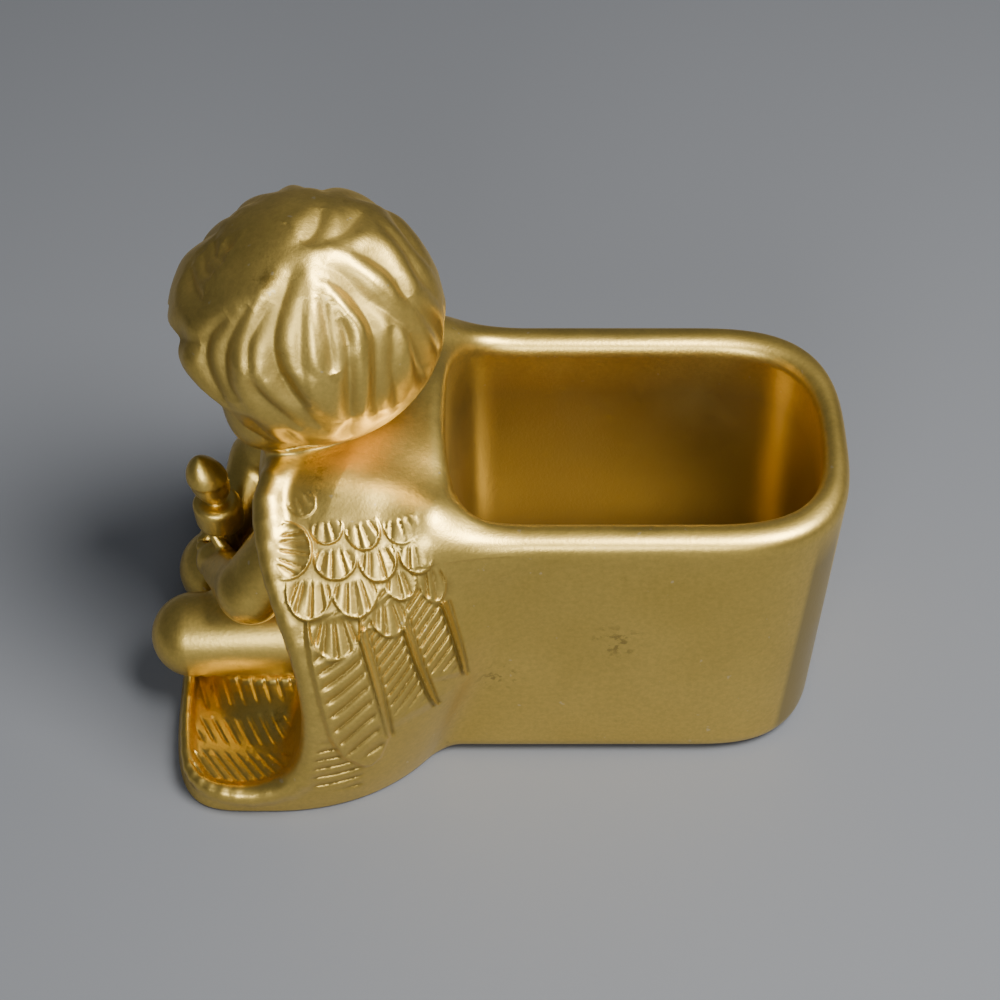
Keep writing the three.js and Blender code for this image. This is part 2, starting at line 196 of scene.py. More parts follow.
def shell_level(x, y, z):
    half, middle = shell_half(x, z), shell_middle(z)
    back = x > middle
    reach = np.where(back, shell_reach(z), WING_FRONT * (1 - 0.25 * (z / WING_HEIGHT) ** 2))
    u, v = np.abs(x - middle) / reach, np.abs(y) / half
    n = np.where(back, WING_BACK_SQUARE, WING_FRONT_SQUARE)
    return (np.minimum(u, 4) ** n + np.minimum(v, 4) ** n) ** (1 / n)


def shell_outside(x, y, z):
    e = 0.4
    s = shell_level(x, y, z)
    gx = (shell_level(x + e, y, z) - s) / e
    gy = (shell_level(x, y + e, z) - s) / e
    gz = (shell_level(x, y, z + e) - s) / e
    d = (s - 1.0) / (np.sqrt(gx * gx + gy * gy + gz * gz) + 1e-4)
    return smax(np.clip(d, -30, 40), z - WING_HEIGHT + 1.0, 3.0)


# Side view of the opening in front of the child, from the front foot up the leading edge to the neck
OPENING = curve([(-90, 7), (-60, 6), (-50, 6.5), (-44.5, 9.5), (-40.5, 17), (-38.8, 25), (-38.6, 33.4),
                 (-40, 46), (-43, 56.5), (-46, 64.5), (-47.5, 70.5), (-43, 76), (-31, 81), (-24, 92)], 60)
EDGE = curve([(-36, 8, 73.5), (-44.2, 20, 72.3), (-44.2, 28, 68), (-42.8, 34.4, 62), (-40.3, 39.5, 54.5),
              (-37.4, 43.5, 45), (-35.9, 46, 33), (-37.2, 47, 19), (-41.5, 47.4, 10), (-50, 47.8, 5.6),
              (-57, 47.3, 5.6), (-62.5, 44.8, 5.8), (-65.6, 40, 6), (-66.8, 30, 6.6), (-67, 20, 7.6),
              (-67, 10, 8.4), (-67, -2, 8.6)], 36)
EDGE_RADII = np.interp(np.linspace(0, 1, len(EDGE)), (0, 0.12, 0.4, 0.5, 0.57, 0.66, 1),
                       (2.6, 3.2, 3.0, 2.6, 1.9, 1.2, 1.2))


def opening(x, z):
    """Distance to the outline of the front opening in the side view, below 0 inside it."""
    best = np.full(x.shape, 1e6, np.float32)
    inside = np.zeros(x.shape, bool)
    loop = np.vstack([OPENING, [(-90, 92)], OPENING[:1]])
    for (ax, az), (bx, bz) in zip(loop[:-1], loop[1:]):
        dx, dz = bx - ax, bz - az
        px, pz = x - ax, z - az
        t = np.clip((px * dx + pz * dz) / (dx * dx + dz * dz), 0.0, 1.0)
        best = np.minimum(best, (px - t * dx) ** 2 + (pz - t * dz) ** 2)
        if abs(dz) > 1e-9:
            crossing = (az > z) != (bz > z)
            inside ^= crossing & (px < dx * pz / dz)
    return np.where(inside, -np.sqrt(best), np.sqrt(best))


def wings(x, ya, z):
    """Both wings, cupped round the child, with their rolled front edge and the ridge along their top."""
    out = shell_outside(x, ya, z)
    out = smax(out, -opening(x, z), 2.5)
    out = smax(out, -ball(x, ya, z, (-52, 0, 36), (24, WING_HALF_WIDTH - 8, 31)), 4.0)
    out = smin(out, chain(x, ya, z, EDGE, EDGE_RADII), 2.0)
    ridge = limb(x, ya, z, BACK_OF_NECK, SHELL_CORNER, 9.7, 6.0)
    ridge = smin(ridge, limb(x, ya, z, SHELL_CORNER, RIM_START, 6.0, 3.0), 5.0)
    return smin(out, ridge, 6.5)


def figure(x, y, ya, z):
    """Torso, neck, arms and legs."""
    out = ball(x, ya, z, (-34, 0, 44), (16, 20, 26), 0.15)
    out = smin(out, limb(x, ya, z, (-29, 0, 62), (-34, 0, 80), 10.5, 9.5), 7.0)
    arm = limb(x, ya, z, SHOULDER, ELBOW, SHOULDER_RADIUS, ELBOW_RADIUS)
    arm = smin(arm, limb(x, ya, z, ELBOW, WRIST, ELBOW_RADIUS, WRIST_RADIUS), 1.5)
    out = smin(out, arm, 4.0)
    leg = limb(x, y, z, NEAR_KNEE, NEAR_SHIN, NEAR_KNEE_RADIUS, SHIN_RADIUS)
    leg = smin(leg, limb(x, y, z, FAR_KNEE, FAR_SHIN, FAR_KNEE_RADIUS, SHIN_RADIUS), 2.0)
    leg = smin(leg, ball(x, ya, z, (-40, 0, 1), (27, 38, 15)), 3.0)
    return smin(out, leg, 3.0)


def hands(x, ya, z):
    """Both hands round the candle, with four fingers and a thumb each."""
    palm = ball(x, ya, z, (-60.3, 3.0, 31.0), (4.6, 3.6, 5.2))
    for i in range(4):
        top = 34.6 - 2.5 * i
        finger = limb(x, ya, z, (-58.6, 5.2, top - 0.6), (-63.6, 0.9, top - 1.2), 1.6, 1.25)
        palm = smin(palm, finger, 0.5)
    return smin(palm, limb(x, ya, z, (-58.2, 4.2, 36.0), (-60.2, 2.4, 38.6), 1.5, 1.2), 0.8)


def candle(x, y, z):
    """Candle that leans a little forward, with a drop of flame."""
    h = z - CANDLE[2]
    lean = x - CANDLE[0] + 0.1 * h
    r = np.hypot(lean, y)
    wax = smax(r - WAX_RADIUS, np.maximum(h - WAX_HEIGHT, -h), WAX_ROUND)
    stem = np.maximum(r - STEM_RADIUS, np.maximum(h - 1.0, -h - STEM_DEPTH))
    out = smin(wax, stem, 0.8)
    wick = np.maximum(r - WICK_RADIUS, np.abs(h - 8.6) - 2.0)
    out = smin(out, wick, 0.8)
    r = np.hypot(lean + 0.12 * np.maximum(h - 9, 0), y)
    drop = np.sqrt(r * r + ((h - FLAME_MIDDLE) / 1.25) ** 2) - FLAME_RADIUS
    rise = np.clip((h - 14.5) / 6.0, 0.0, 1.0)
    point = np.maximum(r - 3.9 * (1 - rise * rise) ** 0.8, 14.6 - h) * 0.7 + np.maximum(h - FLAME_TOP, 0)
    return smin(out, smin(drop, point, 1.6), 0.6)


# Strokes in the hair as (turn, tilt) from the crown in degrees, with a depth in mm and a width in mm
STROKES = [
    ([(-22, 12), (-20, 23), (-26, 35), (-26, 50), (-26, 65), (-28, 86)], 1.9, 2.3),
    ([(-40, 16), (-34, 26), (-37, 37), (-42, 49), (-51, 63), (-57, 78), (-58, 90)], 2.0, 2.2),
    ([(11, 22), (5, 34), (-3, 44), (-13, 54)], 1.3, 2.4),
    ([(-30, 52), (-37, 59), (-45, 72), (-50, 94)], 1.5, 1.9),
    ([(-27, 63), (-30, 79), (-29, 101)], 1.1, 1.8),
    ([(-59, 20), (-66, 33), (-71, 48), (-72, 55)], 1.6, 1.5),
    ([(-55, 32), (-57, 41), (-63, 54), (-69, 75), (-70, 84)], 1.7, 1.6),
    ([(-50, 22), (-55, 34), (-58, 46)], 0.8, 1.6),
    ([(-103, 9), (-107, 23), (-107, 38), (-104, 49), (-98, 62), (-90, 74), (-83, 88)], 2.1, 2.3),
    ([(-119, 22), (-122, 35), (-122, 45), (-116, 57)], 1.7, 2.1),
    ([(-135, 28), (-136, 43), (-134, 55), (-128, 67), (-119, 76)], 1.9, 2.2),
    ([(-144, 39), (-147, 53), (-143, 63), (-135, 72), (-126, 80)], 1.8, 2.0),
    ([(-79, 18), (-87, 33), (-89, 47), (-87, 60)], 1.0, 2.0),
    ([(-99, 53), (-95, 61), (-88, 72)], 0.9, 1.8),
    ([(-116, 58), (-111, 66), (-101, 76), (-91, 87)], 1.5, 2.1),
    ([(-148, 60), (-158, 69), (-166, 80)], 1.2, 2.2),
    ([(155, 46), (167, 41), (176, 33)], 1.0, 1.7),
    ([(162, 51), (176, 46), (182, 39)], 1.1, 1.7),
    ([(169, 57), (181, 54), (195, 47)], 1.1, 1.8),
    ([(157, 38), (165, 31)], 0.8, 1.6),
    ([(76, 6), (60, 12), (64, 20), (72, 30)], 1.1, 2.0),
    ([(31, 13), (34, 22), (42, 31), (48, 42)], 0.9, 2.0),
    ([(52, 66), (36, 60), (22, 62), (14, 72)], 0.8, 2.2),
    ([(34, 45), (17, 52), (4, 60), (-2, 76)], 0.9, 2.2),
    ([(-7, 44), (-12, 56), (-14, 70), (-14, 92)], 1.1, 2.1),
    ([(-70, 84), (-73, 96), (-72, 108)], 0.9, 1.8),
    ([(-100, 86), (-99, 98), (-96, 108)], 0.9, 1.8),
    ([(-115, 86), (-112, 98), (-108, 106)], 0.8, 1.7),
]


def far_strokes():
    """Plainer locks on the hidden far side, fanned from the crown like the near ones."""
    rng = np.random.default_rng(11)
    out = []
    for turn in np.linspace(62, 148, 7):
        bend = rng.uniform(-9, 9)
        first = rng.uniform(44, 56)
        out.append(([(turn, first), (turn + bend, first + 18), (turn + 1.4 * bend, first + 36),
                     (turn + bend, 102 + rng.uniform(0, 10))], rng.uniform(0.8, 1.1), rng.uniform(2.0, 2.5)))
    for turn in np.linspace(0, 44, 4):
        out.append(([(turn, 84 + rng.uniform(0, 8)), (turn - 3, 98), (turn - 4, 114)], 0.9, 2.0))
    return out


E1 = np.array([1.0, 0, 0]) - CROWN[0] * CROWN
E1 /= np.linalg.norm(E1)
E2 = np.cross(CROWN, E1)


def on_head(turn, tilt):
    """Direction on the head at a turn round the crown and a tilt away from it, in degrees."""
    turn, tilt = math.radians(turn), math.radians(tilt)
    return math.sin(tilt) * (math.cos(turn) * E1 + math.sin(turn) * E2) + math.cos(tilt) * CROWN


def hair_paths():
    """Each stroke as places on the ball of the head, with its depth and width."""
    out = []
    for points, depth, width in STROKES + far_strokes():
        places = curve([on_head(*p) for p in points], 5 * len(points))
        places /= np.linalg.norm(places, axis=1, keepdims=True)
        out.append((places * HEAD_RADII[0], depth, width))
    return out


HAIR = hair_paths()


def head_direction(x, y, z):
    """Direction from the middle of the head, on the unit ball that the head is stretched from."""
    q = (np.stack([x, y, z], -1) - HEAD) / HEAD_RADII
    return q / (np.linalg.norm(q, axis=-1, keepdims=True) + 1e-6)


def in_face(x, y, z):
    """1 on the face, 0 under the hair, with a soft hairline."""
    q = head_direction(x, y, z)
    wave = 0.025 * np.sin(9 * np.arctan2(q[..., 1], q[..., 2]))
    return step(*HAIRLINE, q @ FACE_LOOK + wave)


def hair_relief(x, y, z):
    """Height of the locks over the smooth ball of hair, in mm."""
    q = head_direction(x, y, z) * HEAD_RADII[0]
    out = np.zeros(x.shape)
    for path, depth, width in HAIR:
        middle = path.mean(0)
        reach = np.linalg.norm(path - middle, axis=1).max() + 3.4 * width
        near = np.einsum("ij,ij->i", q - middle, q - middle) < reach * reach
        if not near.any():
            continue
        p = q[near]
        best = np.full(len(p), 1e6)
        run = np.zeros(len(p))
        for i in range(len(path) - 1):
            d = path[i + 1] - path[i]
            t = np.clip((p - path[i]) @ d / (d @ d), 0, 1)
            gap = np.linalg.norm(p - path[i] - t[:, None] * d, axis=1)
            closer = gap < best
            best = np.where(closer, gap, best)
            run = np.where(closer, (i + t) / (len(path) - 1), run)
        fade = np.sin(np.clip(run, 0.02, 0.98) * math.pi) ** 0.6
        w = width * (0.5 + 0.5 * fade)
        crease = (np.sqrt(best * best + 0.09) - 0.3) / w
        groove = -depth * fade * np.exp(-crease ** 1.25)
        lip = 0.26 * depth * fade * np.exp(-((best - 2.2 * w) / (1.2 * w)) ** 2)
        out[near] += groove + lip
    return np.clip(out, -2.3, 0.8)


# Feathers are laid out on a slanted plane that faces each wing: U along the length, V up the slope, in mm.
# Scallops: (middle, half width, length below and above it, direction in degrees, height), the lowest first
SCALLOPS = [
    ((-35.9, -28.2), 5.3, 6.6, 3.8, -85, 1.0), ((-24.3, -24.4), 3.9, 5.3, 3.8, -80, 1.0),
    ((-41.5, -19.5), 5.0, 6.6, 3.3, -95, 1.0), ((-31.6, -19.3), 5.0, 6.2, 3.3, -82, 1.0),
    ((-21.7, -17.4), 3.6, 4.3, 3.3, -75, 0.9), ((-14.9, -16.8), 3.0, 5.4, 3.3, -78, 0.9),
    ((-46.7, -11.1), 6.2, 5.7, 2.5, -8, 0.95), ((-35.8, -12.5), 4.6, 4.8, 3.0, -85, 0.9),
    ((-26.7, -12.5), 4.1, 5.2, 3.3, -78, 0.9), ((-18.2, -11.1), 3.8, 4.8, 3.0, -78, 0.85),
    ((-37.7, -6.0), 3.4, 3.5, 2.2, -80, 0.6), ((-29.9, -6.5), 3.6, 4.3, 2.7, -70, 0.75),
    ((-21.7, -5.4), 3.6, 4.1, 2.7, -72, 0.5),
    ((-43.2, -0.3), 3.0, 3.3, 2.2, -60, 0.2),
]
# Shafts: (points from root to tip), (half width at the root, at the tip)
SHAFTS = [
    ([(-30.0, -28.0), (-29.6, -30.4), (-27.3, -38.5), (-25.2, -46.1), (-23.8, -51.9)], (1.0, 0.45)),
    ([(-21.2, -26.0), (-20.4, -28.0), (-17.9, -35.3), (-15.2, -41.8), (-13.6, -44.8)], (0.9, 0.4)),
    ([(-12.4, -22.0), (-11.4, -24.4), (-9.8, -29.3), (-8.2, -34.8), (-7.4, -38.2)], (0.8, 0.35)),
]
# The two vanes between the shafts: (direction of the barbs in degrees, one every, share of the shaft at their end)
VANES = [(54, 1.75, 0.84), (56, 1.75, 0.9)]
FAN_PITCH = 2.5
# Bands in the floor of the dish: (distance from the middle, half width, slant, one line every, depth)
DISH_BANDS = [(41.0, 4.5, 0.75, 2.5, 0.36), (31.5, 4.2, 0.55, 2.7, 0.3), (22.0, 4.4, 0.35, 2.9, 0.25)]
# Outline of the great feather: heights, its left edge and its right edge
GREAT = ((-58.2, -57.6, -55.9, -51.8, -44.5, -36.4, -30.0), (-29.3, -31.0, -34.8, -37.5, -39.6, -41.6, -42.6),
         (-29.2, -27.6, -25.6, -24.0, -25.8, -28.0, -29.8))


def on_wing(x, ya, z):
    """Place on the slanted plane in front of a wing."""
    back, rise = -ya, z - VIEW_Z
    depth = VIEW_DISTANCE + math.cos(VIEW_ANGLE) * back - math.sin(VIEW_ANGLE) * rise
    up = math.sin(VIEW_ANGLE) * back + math.cos(VIEW_ANGLE) * rise
    return (x - VIEW_X) * VIEW_DISTANCE / depth, up * VIEW_DISTANCE / depth


def path_gap(u, v, points):
    """Distance to a path, signed by its side, and the share of the path that is run."""
    best = np.full(u.shape, 1e6)
    run = np.zeros(u.shape)
    places = curve([(a, b, 0) for a, b in points], 13)[:, :2]
    for i, (a, b) in enumerate(zip(places[:-1], places[1:])):
        d = b - a
        pu, pv = u - a[0], v - a[1]
        t = np.clip((pu * d[0] + pv * d[1]) / (d @ d), 0, 1)
        gap = np.hypot(pu - t * d[0], pv - t * d[1]) * np.where(pu * d[1] - pv * d[0] > 0, -1, 1)
        closer = np.abs(gap) < np.abs(best)
        best = np.where(closer, gap, best)
        run = np.where(closer, (i + t) / 12, run)
    return best, run


def barbs(u, v, angle, pitch):
    """Depth of the cuts between rounded barbs that rise to the right at an angle, one every pitch."""
    angle = math.radians(angle)
    turns = (v * math.cos(angle) - u * math.sin(angle)) / pitch + 0.06 * np.sin(0.5 * u)
    return np.abs(2 * (turns - np.floor(turns)) - 1) ** 2


def relief_mask(x, ya, z):
    """One on the outside of the wing, falling to zero at its inside, its front edge and the box."""
    off = shell_outside(x, ya, z)
    outer = step(-9.0, -5.0, off) * step(3.0, 1.8, off)
    return outer * step(1.6, 4.0, opening(x, z)) * step(0.3, 1.8, box_outside(x, ya, z))


def wing_relief(x, ya, z):
    """Height of the feathers over the smooth wing, in mm, and the depth of their cuts, from 0 to 1."""
    u, v = on_wing(x, ya, z)
    out = np.zeros(u.shape)
    groove = np.zeros(u.shape)
    first, second, third = [path_gap(u, v, points) for points, _ in SHAFTS]
    foot = step(-63.5, -61.5, v) * step(-52.0, -54.0, v) * step(-41.5, -39.5, u) * step(-29.0, -31.5, u)
    cut = barbs(u, v, 14, 1.75) * foot
    out -= 0.42 * cut
    groove += cut
    left, right = np.interp(v, GREAT[0], GREAT[1]), np.interp(v, GREAT[0], GREAT[2])
    tip = step(-58.4, -57.6, v)
    inside = step(-0.3, 1.3, u - left) * step(-0.1, 0.5, right - u) * tip * step(-22, -26, v)
    cut = barbs(u, v, 38, 2.9) * step(0.4, 3.2, u - left) * step(0.7, 2.6, -first[0])
    cut *= step(-57.2, -54.0, v)
    out = out * (1 - inside) + (1.15 + 0.02 * (u - left) - 0.7 * cut) * inside
    groove = groove * (1 - inside) + cut * inside
    for (gap_a, _), (gap_b, run_b), (angle, pitch, fade) in zip((first, second), (second, third), VANES):
        wide = np.maximum(gap_a - gap_b, 0.5)
        share = np.clip(gap_a / wide, 0, 1)
        inside = step(0.2, 0.8, gap_a) * step(0.2, -0.2, gap_b) * step(1.0, fade, run_b) * step(-17, -21, v)
        cut = barbs(u, v, angle, pitch) * step(0.8, 2.4, gap_a) * step(-0.7, -1.8, gap_b)
        cut *= step(fade + 0.08, fade - 0.2, run_b)
        out = out * (1 - inside) + (0.35 + 0.6 * share - 0.6 * cut) * inside
        groove = groove * (1 - inside) + cut * inside
    for (gap, run), (_, (thick, thin)) in zip((first, second, third), SHAFTS):
        wide = thick + (thin - thick) * run
        ends = step(1.0, 0.94, run) * step(0.0, 0.06, run)
        beside = np.exp(-((np.abs(gap) - 1.5 * wide) / 0.48) ** 2)
        out += (0.5 * np.exp(-(gap / wide) ** 4) - 0.45 * beside) * ends
        groove = np.maximum(groove, beside * ends)
        out += 0.35 * ends * np.exp(-((gap + 0.1) / (0.5 * wide)) ** 2)
    for index, ((mu, mv), half, below, above, turn, lift) in enumerate(SCALLOPS):
        du, dv = u - mu, v - mv
        near = np.hypot(du, dv) < max(half, below) + 1.5
        if not near.any():
            continue
        lean = math.radians(turn)
        du, dv = du[near], dv[near]
        along = du * math.cos(lean) + dv * math.sin(lean)
        across = dv * math.cos(lean) - du * math.sin(lean)
        level = np.sqrt((across / half) ** 2 + (np.maximum(along, 0) / below) ** 2)
        inside = step(0.5, -0.1, (level - 1) * 0.5 * (half + below)) * step(-above, -0.3 * above, along)
        run = np.clip((along + above) / (below + above), 0, 1)
        back = along + 1.7 * below
        pitch = FAN_PITCH / (2.3 * below)
        lines = np.arctan2(across, back) / pitch + 0.37 * (index % 3)
        lines = lines + 0.12 * np.sin(4 * lines + index)
        cut = (1 - 2 * np.abs(lines - np.round(lines))) ** 2
        deep = step(-0.8 * above, -0.1 * above, along) * step(1.0, 0.86, level)
        height = lift * (1.25 * run ** 1.3 - 0.55 * cut * deep)
        out[near] = out[near] * (1 - inside) + height * inside
        under = step(0.98, 1.04, level) * step(1.36, 1.1, level) * step(0, 0.4 * below, along) * lift
        groove[near] = np.maximum(groove[near], under) * (1 - inside) + cut * deep * inside
    return out, groove


def dish_relief(x, ya):
    """Faint slanted barbs pressed in the floor of the front dish, in bands along its rim."""
    out = np.zeros(x.shape)
    for middle, width, slant, pitch, deep in DISH_BANDS:
        across = ya - middle - 0.12 * (x + 55)
        phase = (x - slant * across) * 2 * math.pi / pitch
        out -= deep * np.clip(np.cos(phase), 0, 1) ** 1.5 * step(width, width - 2.2, np.abs(across))
    return out * step(-66, -63, x) * step(-40, -46, x)


def field(p):
    """Distance in mm to the surface of the whole casting; relief included."""
    x, y, z = p[:, 0].astype(np.float64), p[:, 1].astype(np.float64), p[:, 2].astype(np.float64)
    ya = np.abs(y)
    out = box_outside(x, ya, z)
    front = x < 30
    if front.any():
        xf, yf, yaf, zf = x[front], y[front], ya[front], z[front]
        body = wings(xf, yaf, zf)
        near = (np.abs(body) < 4) & (yaf > 12) & (xf > -50) & (zf > 2)
        if near.any():
            rise, _ = wing_relief(xf[near], yaf[near], zf[near])
            body[near] -= rise * relief_mask(xf[near], yaf[near], zf[near])
        rest = smin(out[front], body, 3.5)
        rest = smin(rest, figure(xf, yf, yaf, zf), 3.0)
        floor = (np.abs(rest) < 3) & (zf < 15) & (zf > 4.5) & (xf < -42)
        if floor.any():
            rest[floor] -= dish_relief(xf[floor], yaf[floor])
        out[front] = rest
    out = smax(out, -box_inside(x, ya, z), 4.0)
    high = (x < 0) & (z > 60)
    if high.any():
        xh, yh, yah, zh = x[high], y[high], ya[high], z[high]
        hair = ball(xh, yh, zh, HEAD, HEAD_RADII)
        fringe = ball(xh, yh, zh, (-49.5, 0, 100.5), (14.6, 19, 12), 0.5)
        hair = smin(hair, fringe, 6.0)
        close = np.abs(hair) < 4
        face = in_face(xh, yh, zh)
        if close.any():
            hair[close] -= hair_relief(xh[close], yh[close], zh[close]) * (1 - face[close])
        hair = hair + 4.5 * face
        skin = ball(xh, yah, zh, FACE, (17.4, 19.0, 17.4))
        skin = smin(skin, ball(xh, yah, zh, (-45.8, 8.6, 82.0), (7.4, 7.4, 7.4)), 4.0)
        skin = smin(skin, ball(xh, yah, zh, (-54.4, 0, 84.6), (2.9, 2.7, 3.7), 0.7), 2.4)
        skin = smin(skin, ball(xh, yah, zh, (-47.0, 0, 77.0), (4.4, 5.2, 3.8)), 3.0)
        skin = smin(skin, ball(xh, yah, zh, (-54.0, 7.2, 89.0), (2.6, 4.0, 2.8)), 1.6)
        lash = chain(xh, yah, zh, [(-56.7, 3.8, 88.3), (-56.9, 7.0, 86.9), (-54.9, 10.3, 87.9)],
                     [0.35, 0.55, 0.35])
        skin = smax(skin, -lash, 0.5)
        lips = limb(xh, yah, zh, (-53.9, 0, 79.5), (-52.9, 2.9, 79.2), 1.1, 0.6)
        lips = smin(lips, limb(xh, yah, zh, (-52.8, 0, 77.6), (-52.0, 2.3, 77.9), 1.2, 0.6), 0.3)
        skin = smin(skin, lips, 0.8)
        head = smin(hair, skin, 1.2)
        out[high] = smin(out[high], head, 3.0)
    low = (x < -45) & (z > 20) & (z < 70) & (ya < 14)
    if low.any():
        xl, yl, yal, zl = x[low], y[low], ya[low], z[low]
        part = smin(hands(xl, yal, zl), candle(xl, yl, zl), 0.5)
        out[low] = smin(out[low], part, 1.2)
    return smax(out, -z, 1.0).astype(np.float32)


def run_field(points):
    """The field over many points, in pieces on all cores."""
    pieces = np.array_split(points, max(1, len(points) // BATCH))
    with ThreadPoolExecutor(CORES) as pool:
        return np.concatenate(list(pool.map(field, pieces)))


def sculpt():
    """Vertices and quads of the zero surface of the field, by surface nets on a fine grid near it."""
    count = (np.ceil((GRID_HIGH - GRID_LOW) / CELL / COARSE).astype(int)) * COARSE + 1
    axes = [GRID_LOW[i] + CELL * np.arange(count[i]) for i in range(3)]
    coarse = [a[::COARSE] for a in axes]
    grid = np.stack(np.meshgrid(*coarse, indexing="ij"), -1).reshape(-1, 3)
    rough = run_field(grid).reshape([len(a) for a in coarse])
    for axis in range(3):
        n = rough.shape[axis]
        fine = np.arange((n - 1) * COARSE + 1) / COARSE
        i = np.minimum(fine.astype(int), n - 2)
        t = (fine - i).reshape([-1 if k == axis else 1 for k in range(3)]).astype(np.float32)
        rough = np.take(rough, i, axis) * (1 - t) + np.take(rough, i + 1, axis) * t
    band = np.abs(rough) < 3.4 + 1.6 * CELL
    where = np.argwhere(band)
    rough[band] = run_field(GRID_LOW + CELL * where)
    f = rough
    inside = f < 0
    total = np.zeros([n - 1 for n in f.shape], np.int8)
    for c in np.ndindex(2, 2, 2):
        total += inside[c[0]:f.shape[0] - 1 + c[0], c[1]:f.shape[1] - 1 + c[1], c[2]:f.shape[2] - 1 + c[2]]
    cells = np.argwhere((total > 0) & (total < 8))
    number = np.full(total.shape, -1, np.int64)
    number[tuple(cells.T)] = np.arange(len(cells))
    place = np.zeros((len(cells), 3))
    hits = np.zeros(len(cells))
    for axis in range(3):
        others = [a for a in range(3) if a != axis]
        for c in np.ndindex(2, 2):
            a = cells.copy()
            a[:, others[0]] += c[0]
            a[:, others[1]] += c[1]
            b = a.copy()
            b[:, axis] += 1
            fa, fb = f[tuple(a.T)], f[tuple(b.T)]
            cross = (fa < 0) != (fb < 0)
            t = np.where(cross, fa / (fa - fb + 1e-12), 0)
            spot = a.astype(float)
            spot[:, axis] += t
            place[cross] += spot[cross]
            hits[cross] += 1
    vertices = GRID_LOW + CELL * place / hits[:, None]
    quads = []
    for axis in range(3):
        o1, o2 = (axis + 1) % 3, (axis + 2) % 3
        a = [slice(None)] * 3
        b = [slice(None)] * 3
        a[axis], b[axis] = slice(0, -1), slice(1, None)
        for o in (o1, o2):
            a[o] = b[o] = slice(1, -1)
        fa, fb = inside[tuple(a)], inside[tuple(b)]
        edges = np.argwhere(fa != fb)
        edges[:, o1] += 1
        edges[:, o2] += 1
        first = inside[tuple(edges.T)]
        ring = []
        for d1, d2 in ((0, 0), (-1, 0), (-1, -1), (0, -1)):
            c = edges.copy()
            c[:, o1] += d1
            c[:, o2] += d2
            ring.append(number[tuple(c.T)])
        ring = np.stack(ring, 1)
        ring[~first] = ring[~first][:, ::-1]
        quads.append(ring)
    return vertices, np.concatenate(quads)


def slope(points):
    """Unit gradient of the field, and its length."""
    e = 0.12
    shifts = e * np.eye(3)
    g = np.stack([run_field(points + shift) - run_field(points - shift) for shift in shifts], 1)
    g /= 2 * e
    length = np.linalg.norm(g, axis=1, keepdims=True) + 1e-6
    return g / length, length


def cut_depth(points):
    """How deep each point of the surface lies in a cut of the feathers or the hair, from 0 to 1."""
    x, y, z = points.T
    groove = np.zeros(len(points))
    skin = (np.abs(y) > 12) & (x > -50) & (x < 30) & (z > 2)
    wing = (x[skin], np.abs(y[skin]), z[skin])
    groove[skin] = wing_relief(*wing)[1] * relief_mask(*wing)
    locks = (x < -5) & (z > 80)
    hair = (x[locks], y[locks], z[locks])
    groove[locks] = 0.7 * np.clip(-hair_relief(*hair), 0, 1) * (1 - in_face(*hair))
    return groove


def noise(scale, detail, rough=0.5):
    """Noise in the object's own coordinates."""
    n = nodes.new("ShaderNodeTexNoise")
    n.inputs["Scale"].default_value = scale
    n.inputs["Detail"].default_value = detail
    n.inputs["Roughness"].default_value = rough
    links.new(place, n.inputs["Vector"])
    return n.outputs["Fac"]


def ramp(value, stops):
    """Colour of a value from (place, colour) stops."""
    r = nodes.new("ShaderNodeValToRGB")
    while len(r.color_ramp.elements) < len(stops):
        r.color_ramp.elements.new(0.5)
    for element, (at, colour) in zip(r.color_ramp.elements, stops):
        element.position = at
        element.color = (*colour, 1.0)
    links.new(value, r.inputs["Fac"])
    return r.outputs["Color"]


def mix(kind, factor, a, b):
    """Two colours blended; each argument is a number, a colour or a socket."""
    m = nodes.new("ShaderNodeMix")
    m.data_type = "RGBA"
    m.blend_type = kind
    for socket, value in (("Factor", factor), ("A", a), ("B", b)):
        target = [s for s in m.inputs if s.name == socket and s.enabled][0]
        if isinstance(value, (int, float)):
            target.default_value = value
        elif isinstance(value, tuple):
            target.default_value = (*value, 1.0)
        else:
            links.new(value, target)
    return [s for s in m.outputs if s.enabled][0]


def remap(value, low_in, high_in, low_out, high_out):
    """A value carried from one range to another."""
    m = nodes.new("ShaderNodeMapRange")
    limits = {"From Min": low_in, "From Max": high_in, "To Min": low_out, "To Max": high_out}
    for name, limit in limits.items():
        m.inputs[name].default_value = limit
    links.new(value, m.inputs["Value"])
    return m.outputs["Result"]


def combine(a, b, operation="MULTIPLY"):
    """Two values put together; b is None for an operation on one."""
    m = nodes.new("ShaderNodeMath")
    m.operation = operation
    links.new(a, m.inputs[0])
    if b is not None:
        links.new(b, m.inputs[1])
    return m.outputs["Value"]


def area_light(name, at, target, size_m, power, colour):
    """Round light at a place, aimed at another."""
    data = bpy.data.lights.new(name, "AREA")
    data.shape = "DISK"
    data.size = size_m
    data.energy = power
    data.color = colour
    lamp = bpy.data.objects.new(name, data)
    bpy.context.scene.collection.objects.link(lamp)
    aim = np.array(target) - np.array(at)
    lamp.location = at
    lamp.rotation_euler = Vector(aim).to_track_quat("-Z", "Y").to_euler()


vertices, quads = sculpt()
normal, length = slope(vertices)
vertices -= normal * np.clip(run_field(vertices)[:, None] / length, -0.4 * CELL, 0.4 * CELL)

